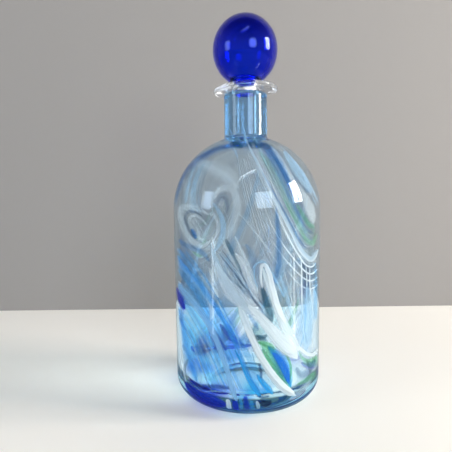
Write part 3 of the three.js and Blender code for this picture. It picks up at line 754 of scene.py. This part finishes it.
# Fine strands and veils under the trails, read off the photograph: glass, body, softness and path. Places
# and widths are in photo pixels, and the camera above throws them onto the wall. The deepest comes first.
strandShape = dict(
    depth=0.45, depthStep=0.004, thickness=0.12, steps=48, sides=8, tipPower=10.0,
    widest=1.5,  # the most millimetres that a photo pixel may become at the edge
)
# Some are painted light: the glint strands are painted highlights, the heel's shade strand is painted
# shade, and the base stripes are partly painted refraction.
photoStrands = dict(
    domeVeil=("white", 0.38, 0, [
        (194, 160, 6), (206, 164, 16), (220, 170, 26), (231, 178, 24), (238, 188, 10)]),
    leftVeil=("white", 0.2, 0, [(184, 178, 6), (188, 198, 14), (194, 222, 14), (198, 240, 6)]),
    shoulderVeil=("pale", 0.08, 0, [
        (250, 160, 6), (262, 185, 16), (272, 212, 18), (282, 240, 14), (290, 262, 6)]),
    glowVeil=("white", 0.32, 0, [
        (200, 276, 5), (212, 286, 16), (228, 296, 20), (244, 302, 16), (256, 306, 5)]),
    middleHaze=("steel", 0.4, 0, [(246, 244, 5), (251, 254, 14), (255, 264, 14), (257, 276, 8)]),
    archShade=("ink", 0.3, 0, [
        (214, 206, 4), (218, 198, 12), (224, 196, 12), (226, 206, 8), (222, 220, 6)]),
    neckRing=("steel", 0.8, 0.2, [
        (221, 147, 4), (232, 144, 7), (246, 143, 8), (260, 144, 8), (273, 148, 5)]),
    neckPatchOne=("teal", 0.9, 0.2, [(231, 141, 3), (236, 143, 6), (240, 145, 6), (243, 146, 3)]),
    neckPatchTwo=("teal", 0.9, 0.2, [(249, 141, 4), (253, 143, 8), (257, 145, 9), (260, 147, 5)]),
    neckPatchThree=("teal", 0.8, 0.2, [(261, 142, 5), (265, 144, 9), (270, 147, 7)]),
    neckLineOne=("pale", 0.8, 0.5, [(238, 101, 2), (241, 116, 2.5), (244, 130, 3), (248, 143, 3.5)]),
    neckLineTwo=("pale", 0.5, 0.5, [(228, 128, 1.5), (231, 138, 2), (235, 150, 2.5), (238, 158, 2)]),
    neckLineThree=("pale", 0.5, 0.5, [(254, 132, 1.5), (258, 143, 2), (263, 154, 2.5), (268, 165, 2)]),
    neckLineFour=("white", 0.4, 0.5, [(240, 110, 1.2), (242, 122, 1.6), (245, 134, 2), (250, 147, 2.5)]),
    domeRim=("steel", 0.9, 0, [
        (174, 206, 4), (178, 186, 8), (186, 169, 10), (198, 157, 11), (212, 149, 10), (226, 145, 9),
        (238, 144, 5)]),
    lavenderDrop=("pale", 0.6, 0.3, [
        (284, 150, 3), (293, 162, 9), (303, 176, 12), (310, 188, 8), (313, 194, 2)]),
    dropEdge=("ink", 0.4, 0.5, [(277, 148, 1.5), (290, 167, 2), (302, 184, 2), (311, 193, 2.5)]),
    shoulderWhite=("white", 0.4, 0.4, [
        (272, 146, 3), (283, 160, 6), (293, 178, 7), (303, 193, 9), (311, 208, 11), (316, 222, 8)]),
    shoulderBlue=("steel", 0.95, 0.3, [
        (262, 141, 7), (272, 150, 10), (281, 163, 11), (288, 178, 8), (295, 191, 5), (300, 200, 2)]),
    shoulderGreen=("green", 0.25, 0.35, [
        (258, 149, 4), (269, 162, 11), (279, 180, 14), (288, 198, 12), (297, 216, 7), (305, 228, 5),
        (312, 233, 4), (317, 229, 3)]),
    vividGreen=("green", 0.55, 0.3, [(298, 204, 3), (305, 216, 5), (311, 225, 5), (316, 227, 3)]),
    tealHook=("green", 0.5, 0.4, [
        (284, 197, 2), (291, 210, 3), (296, 219, 3), (302, 230, 4), (307, 239, 5), (312, 243, 6),
        (316, 240, 4), (318, 233, 2)]),
    paleHook=("mist", 0.75, 0.5, [
        (248, 143, 3), (257, 160, 4), (266, 178, 4), (273, 195, 5), (283, 214, 5), (289, 225, 5),
        (295, 237, 5), (301, 248, 6), (306, 255, 7), (312, 259, 7), (316, 256, 5), (319, 249, 3)]),
    whiteHook=("white", 0.7, 0.4, [
        (256, 160, 1), (265, 178, 1.4), (272, 195, 1.6), (282, 214, 2), (288, 225, 2), (294, 237, 2.2),
        (300, 249, 2.6), (306, 257, 3), (312, 261, 3), (317, 256, 2), (319, 250, 1.5)]),
    blueHook=("steel", 0.8, 0.4, [
        (262, 170, 2), (270, 184, 2), (277, 196, 2.5), (283, 207, 2), (289, 218, 2), (295, 229, 2),
        (301, 240, 2), (307, 248, 1.5)]),
    meshShade=("ink", 0.6, 0.2, [
        (302, 262, 3), (307, 269, 12), (309, 281, 15), (308, 292, 8), (307, 299, 3)]),
    meshArcOne=("white", 0.85, 0.5, [
        (270, 198, 1), (279, 216, 1.4), (285, 228, 1.6), (293, 244, 1.8), (301, 257, 2), (306, 264, 2),
        (312, 267, 2), (317, 263, 1.6)]),
    meshArcTwo=("white", 0.8, 0.5, [
        (268, 216, 1), (275, 230, 1.2), (285, 246, 1.4), (296, 260, 1.6), (302, 267, 1.8), (307, 272, 2),
        (312, 274, 2), (318, 269, 1.6)]),
    meshArcThree=("white", 0.75, 0.5, [
        (272, 240, 1), (282, 254, 1.2), (291, 265, 1.4), (300, 274, 1.6), (306, 279, 1.8),
        (312, 281, 1.8), (318, 277, 1.4)]),
    meshArcFour=("white", 0.65, 0.5, [
        (288, 270, 1), (297, 281, 1.4), (304, 287, 1.6), (311, 289, 1.6), (318, 285, 1.4)]),
    # painted glints: three upright highlight lines laid as opal strands
    paintedGlintLineOne=("white", 0.85, 0.5, [
        (302, 255, 1.2), (303, 270, 1.8), (303, 290, 2), (304, 315, 2), (306, 345, 1.4)]),
    paintedGlintLineTwo=("white", 0.75, 0.5, [(307, 264, 1.2), (308, 278, 1.6), (308, 300, 1.8), (309, 325, 1.4)]),
    paintedGlintLineThree=("white", 0.75, 0.5, [
        (311, 266, 1.2), (311, 280, 1.8), (312, 300, 1.6), (313, 318, 1.2)]),
    steelBand=("steel", 0.8, 0.1, [
        (277, 206, 4), (279, 228, 8), (280, 250, 10), (279, 267, 14), (275, 284, 8)]),
    longLine=("white", 0.35, 0.4, [(238, 212, 1.4), (251, 227, 2), (265, 244, 2), (280, 266, 1.6)]),
    archVeil=("white", 0.3, 0.3, [
        (213, 199, 4), (217, 191, 7), (224, 187, 9), (232, 189, 11), (236, 199, 12), (236, 213, 13),
        (232, 226, 13), (226, 237, 12), (219, 245, 9)]),
    archInner=("ink", 0.3, 0.3, [
        (216, 206, 3), (221, 197, 4), (226, 202, 5), (227, 214, 5), (223, 228, 4), (217, 238, 2)]),
    crescent=("white", 0.3, 0.2, [
        (207, 213, 3), (213, 216, 5), (217, 224, 6), (216, 234, 5), (211, 241, 3)]),
    leafOuter=("white", 0.42, 0.5, [
        (208, 215, 4), (197, 209, 6), (186, 207, 7), (179, 213, 7), (181, 223, 7), (186, 234, 7),
        (193, 243, 8), (202, 246, 7), (210, 240, 4)]),
    leafDark=("ink", 0.55, 0.4, [
        (202, 217, 2), (193, 212, 3), (186, 213, 4), (184, 219, 4), (187, 228, 4), (192, 238, 3)]),
    leafInner=("white", 0.35, 0.4, [
        (207, 227, 2), (200, 219, 3), (192, 216, 4), (188, 220, 4), (191, 229, 4), (197, 237, 4),
        (205, 241, 3)]),
    leafCore=("steel", 1, 0.4, [(190, 229, 3), (193, 234, 6), (195, 239, 4)]),
    leafSpot=("green", 0.5, 0.4, [(200, 245, 1.5), (203, 242, 3), (206, 239, 1.5)]),
    domeArcOne=("pale", 0.4, 0.2, [
        (206, 159, 2), (197, 174, 5), (193, 190, 6), (194, 205, 5), (199, 214, 3)]),
    domeArcTwo=("pale", 0.35, 0.2, [(192, 172, 2), (187, 188, 4), (185, 203, 3)]),
    domeShade=("ink", 0.25, 0.2, [(199, 180, 2), (197, 197, 5), (201, 212, 3)]),
    oliveSpot=("green", 0.6, 0.4, [(191, 252, 2), (196, 255, 4), (201, 257, 2)]),
    leftSteel=("steel", 0.64, 0.2, [(177, 240, 3), (188, 247, 7), (200, 252, 8), (209, 262, 5)]),
    leftAzure=("azure", 0.5, 0, [(178, 262, 8), (190, 284, 14), (202, 306, 14), (212, 328, 10)]),
    azureBand=("azure", 0.6, 0.4, [
        (176, 248, 3), (188, 263, 4), (199, 281, 5), (208, 296, 5), (218, 312, 6), (228, 330, 7),
        (238, 352, 7), (247, 370, 6), (256, 386, 5), (262, 398, 3)]),
    azureLine=("azure", 0.7, 0.4, [
        (184, 250, 2), (197, 268, 2.5), (209, 286, 2.5), (221, 306, 2.5), (232, 328, 2)]),
    paleLine=("pale", 0.7, 0.5, [(177, 262, 3), (187, 274, 4), (199, 290, 3), (208, 303, 2)]),
    cobaltEdge=("cobalt", 1, 0.4, [(176, 288, 4), (178, 296, 8), (181, 303, 7), (184, 309, 4)]),
    cyanBand=("cyan", 1, 0.5, [(234, 350, 2), (241, 363, 4), (247, 376, 6), (254, 388, 8), (261, 398, 6)]),
    cyanLine=("cyan", 0.6, 0.4, [(252, 353, 1.5), (257, 370, 2.5), (262, 381, 2)]),
    azureSpot=("cyan", 1, 0.4, [(257, 375, 3), (262, 382, 8), (268, 389, 9), (274, 395, 5)]),
    paleBand=("pale", 0.9, 0.5, [
        (177, 284, 5), (190, 300, 8), (205, 320, 8), (213, 335, 8), (219, 350, 7), (226, 370, 7),
        (232, 390, 8), (237, 403, 7)]),
    lowLine=("pale", 0.6, 0.5, [(178, 310, 1.5), (190, 328, 2), (200, 352, 2.5), (206, 370, 1.5)]),
    lowBand=("pale", 0.65, 0.4, [(181, 345, 3), (190, 358, 5), (197, 372, 5), (201, 388, 4)]),
    edgeLine=("white", 0.55, 0.5, [(180, 350, 1.5), (183, 372, 2.2), (186, 386, 1.5)]),
    whiteLine=("white", 0.6, 0.5, [(216, 300, 1.2), (225, 318, 2), (233, 330, 2.2), (242, 352, 1.2)]),
    # painted glint: a bright patch of light laid as an opal strand
    paintedGlintMint=("white", 0.6, 0.1, [(204, 288, 3), (208, 299, 8), (211, 311, 10), (209, 322, 4)]),
    # painted shade: a shadow line along the heel
    heelShade=("ink", 0.75, 0.2, [(196, 386, 3), (208, 387, 6), (220, 388, 7), (230, 389, 4)]),
    heelLine=("pale", 0.75, 0.4, [(202, 392, 1), (214, 392, 2), (226, 393, 1)]),
    heelCobalt=("cobalt", 1, 0.5, [
        (184, 383, 3), (190, 391, 8), (199, 398, 9), (212, 403, 10), (226, 406, 8)]),
    # base stripes: the white and mint ones are painted glints; the blue, cyan and ink ones are partly the
    # base's own blue and partly painted refraction of the thick floor
    baseWhite=("white", 0.9, 0.6, [(227, 400, 5), (228, 405, 6), (229, 410, 5)]),
    baseNavy=("cobalt", 1, 0.7, [(234, 402, 5), (235, 406, 7), (236, 411, 6)]),
    baseCyan=("cyan", 0.7, 0.6, [(240, 400, 4), (241, 405, 4), (242, 411, 4)]),
    baseBlue=("cobalt", 0.85, 0.6, [(245, 397, 5), (246, 403, 7), (248, 411, 7)]),
    baseStripe=("cyan", 0.7, 0.6, [(251, 401, 3), (252, 406, 5), (253, 411, 5)]),
    paintedGlintBaseMint=("white", 0.7, 0.6, [(257, 402, 3), (258, 406, 5), (259, 410, 4)]),
    baseInk=("ink", 1, 0.5, [(261, 401, 3), (266, 405, 11), (272, 402, 5)]),
    baseMist=("mist", 0.6, 0.1, [(290, 401, 3), (298, 396, 8), (306, 388, 9), (313, 377, 4)]),
    baseTeal=("ink", 0.8, 0.4, [(257, 397, 2), (263, 398, 5), (270, 397, 3)]),
    edgeAzure=("azure", 0.85, 0, [
        (178, 306, 5), (181, 325, 10), (185, 345, 12), (190, 365, 12), (196, 382, 6)]),
    forkGap=("steel", 0.55, 0.3, [(248, 312, 2), (252, 319, 6), (256, 326, 6), (259, 331, 3)]),
    slate=("teal", 0.7, 0.4, [(257, 336, 3), (262, 338, 6), (268, 336, 4)]),
    slateLow=("ink", 0.9, 0.4, [(259, 364, 2), (261, 371, 5), (262, 379, 3)]),
    lozengeFill=("green", 0.8, 0.2, [
        (259, 342, 4), (266, 349, 12), (275, 362, 20), (284, 376, 16), (291, 389, 4)]),
    lozengeTop=("green", 0.9, 0.4, [(258, 343, 3), (264, 344, 7), (270, 347, 10), (276, 352, 6)]),
    lozengeRim=("green", 0.9, 0.5, [
        (262, 349, 2.5), (268, 358, 5), (275, 368, 5), (282, 378, 5), (289, 387, 3)]),
    lozengeGlow=("cyan", 1, 0.3, [
        (268, 346, 4), (275, 354, 14), (281, 363, 20), (286, 373, 21), (290, 382, 12), (292, 388, 3)]),
    lozengeHeart=("royal", 1, 0.3, [
        (272, 351, 3), (277, 357, 9), (282, 364, 14), (286, 372, 14), (289, 380, 8), (291, 385, 2)]),
    lozengeEdge=("green", 0.85, 0.5, [
        (276, 347, 2), (284, 352, 3), (290, 361, 3), (292, 372, 3), (291, 382, 2)]),
    rightGreen=("green", 0.65, 0.4, [(300, 352, 1.5), (303, 358, 4), (310, 361, 4), (318, 358, 4)]),
    rightLavender=("cobalt", 0.55, 0.4, [(302, 363, 3), (308, 366, 7), (317, 363, 6)]),
    rightShade=("ink", 0.5, 0.2, [(297, 368, 5), (302, 375, 11), (308, 374, 10), (315, 369, 5)]),
    rightGreenLow=("green", 0.6, 0.3, [(298, 385, 3), (306, 381, 5), (313, 377, 5), (317, 373, 4)]),
    pouch=("pale", 0.6, 0.3, [
        (308, 286, 6), (309, 305, 14), (309, 325, 18), (308, 342, 14), (307, 352, 4)]),
    pouchLine=("white", 0.9, 0.5, [
        (292, 334, 2), (298, 345, 4), (305, 352, 4), (312, 355, 4), (318, 350, 3)]),
    besideArch=("pale", 0.5, 0.2, [(281, 276, 3), (286, 290, 8), (290, 304, 6), (294, 320, 4)]),
    rightAzure=("azure", 0.6, 0.2, [(316, 262, 3), (317, 290, 5), (317, 320, 4)]),
    oliveSlot=("teal", 0.6, 0.5, [
        (225, 239, 4), (229, 248, 6), (234, 258, 6), (238, 267, 5), (241, 274, 3)]),
    upperRibbon=("white", 0.5, 0.5, [
        (234, 236, 3), (240, 249, 5), (246, 263, 7), (252, 279, 8), (258, 295, 5)]),
    slotEdge=("white", 0.6, 0.5, [
        (221, 238, 3), (226, 248, 3), (232, 260, 4), (238, 272, 4), (246, 287, 4)]),
    navyLineOne=("ink", 0.65, 0.6, [
        (216, 251, 1.5), (232, 271, 2.2), (248, 292, 2.8), (262, 311, 3), (270, 322, 2.5)]),
    navyLineTwo=("ink", 0.55, 0.6, [(221, 250, 1.2), (236, 269, 1.6), (251, 289, 2), (264, 306, 2.2)]),
    betweenLine=("pale", 0.8, 0.5, [
        (219, 251, 1), (234, 270, 1.2), (250, 291, 1.5), (264, 309, 1.6), (269, 317, 1)]),
    navyGap=("teal", 0.8, 0.4, [(262, 286, 4), (266, 300, 10), (270, 313, 12), (272, 324, 6)]),
    # painted glints: bright caustic streaks laid as opal strands
    paintedGlintOne=("white", 0.8, 0.3, [(208, 268, 2), (211, 276, 4), (213, 282, 2)]),
    paintedGlintTwo=("white", 0.8, 0.3, [(211, 285, 2), (215, 292, 5), (218, 298, 2)]),
    archLine=("pale", 0.8, 0.5, [
        (258, 289, 2), (254, 274, 2.5), (256, 265, 3), (262, 262, 3.5), (269, 268, 3), (277, 281, 2.5),
        (285, 298, 2)]),
    archLeg=("white", 0.9, 0.6, [
        (263, 268, 3), (267, 280, 6), (273, 296, 8), (280, 314, 10), (288, 331, 12), (296, 345, 10),
        (300, 352, 4)]),
    trunk=("mist", 0.85, 0.35, [
        (209, 243, 3), (214, 258, 7), (221, 276, 12), (230, 290, 16), (239, 301, 17), (247, 310, 12),
        (251, 315, 5)]),
    leftBranch=("white", 0.9, 0.6, [
        (238, 304, 5), (242, 314, 9), (247, 326, 9), (254, 343, 9), (263, 361, 9), (272, 376, 8),
        (281, 387, 8), (290, 394, 7), (297, 396, 3)]),
    rightBranch=("white", 0.97, 0.65, [
        (247, 305, 6), (258, 315, 9), (268, 326, 13), (277, 337, 16), (286, 346, 19), (294, 353, 14),
        (299, 359, 5)]),
)

# Combed stretches: fine lines spread between a first and a last one, in photo pixels too
combedFields = dict(
    leftDiagonals=dict(
        kinds=("azure", "cyan", "pale", "cyan", "white", "azure"),
        count=26, width=(0.6, 4), body=(0.2, 0.6), seed=3,
        first=[(176, 252), (196, 280), (214, 306), (232, 336), (246, 364), (258, 390)],
        last=[(178, 318), (186, 334), (194, 352), (200, 368), (206, 384), (212, 394)]),
    middleHair=dict(
        kinds=("white", "pale"), count=28, width=(0.5, 0.9), body=(0.2, 0.4), seed=5,
        first=[(252, 152), (262, 176), (275, 206), (288, 234), (300, 258)],
        last=[(236, 158), (242, 190), (249, 220), (258, 248), (270, 272)]),
    domeLeft=dict(
        kinds=("pale", "ink", "pale"), count=12, width=(1.5, 4), body=(0.12, 0.3), seed=11,
        first=[(190, 166), (183, 186), (180, 204), (181, 214)],
        last=[(214, 158), (205, 176), (202, 196), (206, 212)]),
    besidePouch=dict(
        kinds=("white", "pale", "azure", "white"), count=12, width=(0.5, 2), body=(0.12, 0.4), seed=13,
        first=[(272, 270), (282, 292), (292, 318), (300, 340)],
        last=[(300, 262), (303, 290), (306, 320), (310, 345)]),
    trunkStreaks=dict(
        kinds=("white", "pale"), count=12, width=(0.8, 2.4), body=(0.15, 0.4), seed=17,
        first=[(208, 250), (216, 272), (226, 292), (240, 312)],
        last=[(223, 250), (237, 270), (251, 290), (263, 306)]),
    hookLines=dict(
        kinds=("white", "pale", "white"), count=10, width=(0.8, 2.2), body=(0.08, 0.28), seed=23,
        first=[(260, 152), (272, 176), (285, 203), (297, 228), (307, 241), (317, 238)],
        last=[(247, 150), (262, 180), (276, 211), (290, 241), (304, 263), (318, 262)]),
    shoulderHair=dict(
        kinds=("white", "pale", "cobalt"), count=16, width=(0.5, 1.2), body=(0.2, 0.5), seed=19,
        first=[(250, 146), (262, 170), (274, 196), (286, 222), (300, 246), (312, 254)],
        last=[(268, 146), (282, 166), (292, 186), (302, 206), (311, 222), (316, 226)]),
)

combing = dict(soft=0.4, cutShort=(0, 0, 1))  # each end stops a point short, one time in three
wallRadii, wallHeights = np.array(wallOutline + neckOutline).T
wallSteps = np.hypot(np.diff(wallRadii), np.diff(wallHeights))
wallWays = np.concatenate([[0], np.cumsum(wallSteps)]) / wallLength
sightReach = dict(start=0.18, stop=0.34, step=0.0001)  # metres from the camera
sightSteps = np.arange(**sightReach)


def onWall(across, down):
    middle = cameraView["imagePixels"] / 2
    pixel = Vector((across - middle, middle - down, -cameraView["focalPixels"]))
    sight = camera.matrix_world.to_3x3() @ pixel
    places = np.array(cameraView["place"]) + sightSteps[:, None] * np.array(sight.normalized())
    heights = places[:, 2] / mm
    outside = np.hypot(places[:, 0], places[:, 1]) / mm - np.interp(heights, wallHeights, wallRadii)
    hits = np.flatnonzero(outside <= 0)
    place = Vector(places[hits[0] if len(hits) else outside.argmin()])
    turn = math.degrees(math.atan2(place.x, -place.y))
    return turn, float(np.interp(place.z / mm, wallHeights, wallWays)), place


def strandPath(points):
    path = []
    for i, (across, down, width) in enumerate(points):
        before, after = points[max(0, i - 1)], points[min(len(points) - 1, i + 1)]
        run, fall = after[0] - before[0], after[1] - before[1]
        half = width / 2 / math.hypot(run, fall)
        left = onWall(across - fall * half, down + run * half)[2]
        right = onWall(across + fall * half, down - run * half)[2]
        turn, way, _ = onWall(across, down)
        path.append((turn, way, min((left - right).length / mm, strandShape["widest"] * width)))
    return path


def combedStrands(field):
    draw = random.Random(field["seed"])
    combed = []
    for _ in range(field["count"]):
        share = draw.random()
        width = draw.uniform(*field["width"])
        pairs = zip(field["first"], field["last"])
        points = [(a + (c - a) * share, b + (d - b) * share, width) for (a, b), (c, d) in pairs]
        points = points[draw.choice(combing["cutShort"]):len(points) - draw.choice(combing["cutShort"])]
        kind = draw.choice(field["kinds"])
        combed.append((kind, draw.uniform(*field["body"]), combing["soft"], strandPath(points)))
    return combed


strands = [strand for field in combedFields.values() for strand in combedStrands(field)]
strands += [(kind, body, soft, strandPath(points)) for kind, body, soft, points in photoStrands.values()]


# Hair-fine threads that run beside each trail, as the glass was combed
threadShape = dict(
    gapLeast=0.7, gapMost=2.6, perSide=(0, 2), width=(0.3, 0.6), body=(0.15, 0.4), soft=0.4, seed=7)


def besidePath(path, gap, width):
    places = [(math.radians(turn) * vs["bodyRadius"], way * wallLength) for turn, way, _ in path]
    moved = []
    for i, (x, y) in enumerate(places):
        before, after = places[max(0, i - 1)], places[min(len(places) - 1, i + 1)]
        run, climb = after[0] - before[0], after[1] - before[1]
        length = math.hypot(run, climb)
        aside = gap + math.copysign(path[i][2] / 2, gap)
        x, y = x - climb / length * aside, y + run / length * aside
        moved.append((math.degrees(x / vs["bodyRadius"]), y / wallLength, width))
    return moved


def combedThreads(shape):
    draw = random.Random(shape["seed"])
    threads = []
    for kind, _, path in trailPaths.values():
        for side in (-1, 1):
            for _ in range(draw.randint(*shape["perSide"])):
                gap = side * draw.uniform(shape["gapLeast"], shape["gapMost"])
                thread = besidePath(path, gap, draw.uniform(*shape["width"]))
                hair = "pale" if kind in ("azure", "cobalt") else "white"
                threads.append((hair, draw.uniform(*shape["body"]), shape["soft"], thread))
    return threads


# Slabs of colour low on the far side, which show through the front: paths as those of the trails
backSlabs = [
    ("sapphire", 1, 0.2, [
        (250, 0.155, 3), (243, 0.135, 8), (235, 0.118, 13), (227, 0.11, 12), (219, 0.095, 4)]),
    ("sapphire", 1, 0.2, [
        (223, 0.2, 3), (218, 0.165, 8), (212, 0.13, 13), (207, 0.1, 10), (202, 0.075, 3)]),
    ("sapphire", 1, 0.2, [
        (208, 0.2, 2), (203, 0.17, 7), (197, 0.14, 12), (190, 0.115, 9), (183, 0.095, 3)]),
    ("teal", 0.8, 0.4, [(177, 0.14, 4), (169, 0.135, 6), (160, 0.13, 4)]),
]

# The far side carries the same flow again, fainter, painted glints and shade included
echo = dict(turn=172, climb=-0.015, fade=0.35, below=0.9, lowest=0.02, frontTurn=90)
strands += combedThreads(threadShape)


def farSide(path):
    about, climb, lowest = echo["turn"], echo["climb"], echo["lowest"]
    return [(turn + about, max(lowest, way + climb), width) for turn, way, width in path]


strands += [
    (kind, body * echo["fade"], soft, farSide(path)) for kind, body, soft, path in strands
    if all(abs(turn) < echo["frontTurn"] and way < echo["below"] for turn, way, _ in path)
] + backSlabs


def layStrands():
    laid = {}
    for order, (kind, body, soft, path) in enumerate(strands):
        shape = dict(strandShape, body=body, soft=soft)
        shape["depth"] += shape["depthStep"] * (len(strands) - order)
        strand = layTrail(f"{kind}Strand{order}", path, shape, trailMaterials[kind])
        laid.setdefault(kind, []).append(strand)
    # painted glints, painted shade and base stripes join the pieces of the glass they are drawn in
    for kind, pieces in laid.items():
        with bpy.context.temp_override(active_object=pieces[0], selected_editable_objects=pieces):
            bpy.ops.object.join()
        pieces[0].name = kind + "Strands"
        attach(pieces[0], bottleBody)
    print("strands laid:", len(strands))


layStrands()
bpy.data.objects.remove(wallGuide)


# Stage: a pale floor, a one-sided backdrop and soft light

stageLook = dict(
    floorColour="#f3f0ea", wallColour="#a29e9b", worldColour="#b9b6b3",
    worldStrength=0.9, worldFront=0.8, worldTop=0.2,
    frontFrom=-0.7, frontTo=0.5, topFrom=0.3, topTo=0.9,  # where the light from the front and the top fades
    wallDistance=0.181, halfWidth=1.6, wallHalfWidth=0.6, wallHeight=1.6, grainSpan=0.6, grainShare=0.03,
    floorLift=0.12, floorGlow=0.5, floorMirrored=0.4,  # what camera, glass and gloss see of the floor
)


# Matt studio paper: no gloss, only a faint tooth. Gloss sees the floor darker, and glass sees it lit.
def stagePaper(name, hexColour, lift, glow, mirrored, oneSided):
    material, add = newMaterial(name)
    place = add("ShaderNodeTexCoord").outputs["Object"]
    grain = add("ShaderNodeTexNoise", {
        "Vector": place, "Scale": 1 / (stageLook["grainSpan"] * mm), "Detail": 2.0})
    most = stageLook["grainShare"]
    shade = add("ShaderNodeMapRange", {
        "Value": grain.outputs["Fac"], "To Min": 1 - most, "To Max": 1 + most})
    colour = add("ShaderNodeVectorMath", {0: toLinear(hexColour)[:3], "Scale": shade}, operation="SCALE")
    rays = add("ShaderNodeLightPath")
    inGlass = rays.outputs["Is Transmission Ray"]
    bounced = add("ShaderNodeMath", {
        0: rays.outputs["Is Glossy Ray"], 1: inGlass}, operation="SUBTRACT", use_clamp=True)
    kept = add("ShaderNodeMapRange", {"Value": bounced, "To Min": 1.0, "To Max": mirrored})
    colour = add("ShaderNodeVectorMath", {0: colour, "Scale": kept}, operation="SCALE")
    paper = add("ShaderNodeBsdfDiffuse", {"Color": colour})
    seen = add("ShaderNodeMath", {0: rays.outputs["Is Camera Ray"], 1: lift}, operation="MULTIPLY")
    strength = add("ShaderNodeMath", {0: inGlass, 1: glow, 2: seen}, operation="MULTIPLY_ADD")
    light = add("ShaderNodeEmission", {"Color": toLinear(hexColour), "Strength": strength})
    surface = add("ShaderNodeAddShader", {0: paper, 1: light})
    if oneSided:
        hidden = add("ShaderNodeBsdfTransparent")
        back = add("ShaderNodeNewGeometry").outputs["Backfacing"]
        surface = add("ShaderNodeMixShader", {0: back, 1: surface, 2: hidden})
    add("ShaderNodeOutputMaterial", {"Surface": surface})
    return material


def stageSheet(name, corners, material):
    mesh = bpy.data.meshes.new(name)
    mesh.from_pydata(corners, [], [(0, 1, 2, 3)])
    mesh.materials.append(material)
    sheet = bpy.data.objects.new(name, mesh)
    bpy.context.scene.collection.objects.link(sheet)


wide, far, tall = stageLook["halfWidth"], stageLook["wallDistance"], stageLook["wallHeight"]
floorPaper = stagePaper(
    "floor paper", stageLook["floorColour"], lift=stageLook["floorLift"], glow=stageLook["floorGlow"],
    mirrored=stageLook["floorMirrored"], oneSided=False)
wallPaper = stagePaper(
    "backdrop paper", stageLook["wallColour"], lift=0.0, glow=0.0, mirrored=1.0, oneSided=True)
across = lookLeft @ Vector((stageLook["wallHalfWidth"], 0, 0))
back = lookLeft @ Vector((0, far, 0))
lift = Vector((0, 0, tall))
floorCorners = [(-wide, -wide, 0), (wide, -wide, 0), (wide, wide, 0), (-wide, wide, 0)]
stageSheet("stageFloor", floorCorners, floorPaper)
left, right = back - across, back + across
stageSheet("stageBackdrop", [left, right, right + lift, left + lift], wallPaper)

world = bpy.data.worlds.new("studio")
world.use_nodes = True
world.node_tree.nodes.clear()
add = partial(addNode, world.node_tree)
toward = add("ShaderNodeSeparateXYZ", {0: add("ShaderNodeTexCoord").outputs["Generated"]})
level = add("ShaderNodeMapRange", {
    "Value": toward.outputs["Y"], "From Min": stageLook["frontFrom"], "From Max": stageLook["frontTo"],
    "To Min": stageLook["worldFront"], "To Max": stageLook["worldStrength"]},
    interpolation_type="SMOOTHSTEP")
overhead = add("ShaderNodeMapRange", {
    "Value": toward.outputs["Z"], "From Min": stageLook["topFrom"], "From Max": stageLook["topTo"],
    "To Min": 1.0, "To Max": stageLook["worldTop"]}, interpolation_type="SMOOTHSTEP")
strength = add("ShaderNodeMath", {0: level, 1: overhead}, operation="MULTIPLY")
sky = add("ShaderNodeBackground", {"Color": toLinear(stageLook["worldColour"]), "Strength": strength})
add("ShaderNodeOutputWorld", {"Surface": sky})
bpy.context.scene.world = world

# Soft light: turn from the front, height and spin in degrees, distance, width and height in metres,
# radiance and colour
lights = [
    ("frontWindow", 27, 15, 0, 1.2, 0.5, 0.5, 7.5, "#e0eefc"),
    ("leftWindow", -62, 13, 0, 1.2, 0.36, 0.46, 6.0, "#e0eefc"),
    ("sidePaneLeft", 80, 19, 0, 1.2, 0.15, 0.5, 30.0, "#fff9f0"),
    ("sidePaneRight", 89, 19, 0, 1.2, 0.15, 0.5, 30.0, "#fff9f0"),
    ("stripLight", 0, 54, 38, 1.2, 0.6, 0.04, 16.0, "#ffffff"),
    ("rightGlint", 67, -26, 0, 0.2, 0.01, 0.075, 7.0, "#fff9ec"),
    ("leftGlint", -46, -23, 0, 0.2, 0.01, 0.085, 5.0, "#ffffff"),
]
lightTarget = Vector((0, 0, 0.12))
# light runs round inside the lip and the heel, and through many strands in a row
bounces = dict(max_bounces=24, transmission_bounces=20, glossy_bounces=16, transparent_max_bounces=96)

for lightName, turn, up, spin, distance, across, high, radiance, lightColour in lights:
    data = bpy.data.lights.new(lightName, "AREA")
    data.shape = "RECTANGLE"
    data.size, data.size_y = across, high
    data.energy = radiance * math.pi * across * high
    data.color = toLinear(lightColour)[:3]
    lamp = bpy.data.objects.new(lightName, data)
    lamp.visible_camera = False
    turn, up = math.radians(turn), math.radians(up)
    direction = Vector((math.sin(turn) * math.cos(up), -math.cos(turn) * math.cos(up), math.sin(up)))
    facing = direction.to_track_quat("Z", "Y").to_matrix().to_4x4()
    facing = facing @ Matrix.Rotation(math.radians(spin), 4, "Z")
    lamp.matrix_world = Matrix.Translation(lightTarget + direction * distance) @ facing
    bpy.context.scene.collection.objects.link(lamp)

scene = bpy.context.scene
scene.view_settings.view_transform = "Standard"
for limit, count in bounces.items():
    setattr(scene.cycles, limit, count)
print("stage lit")
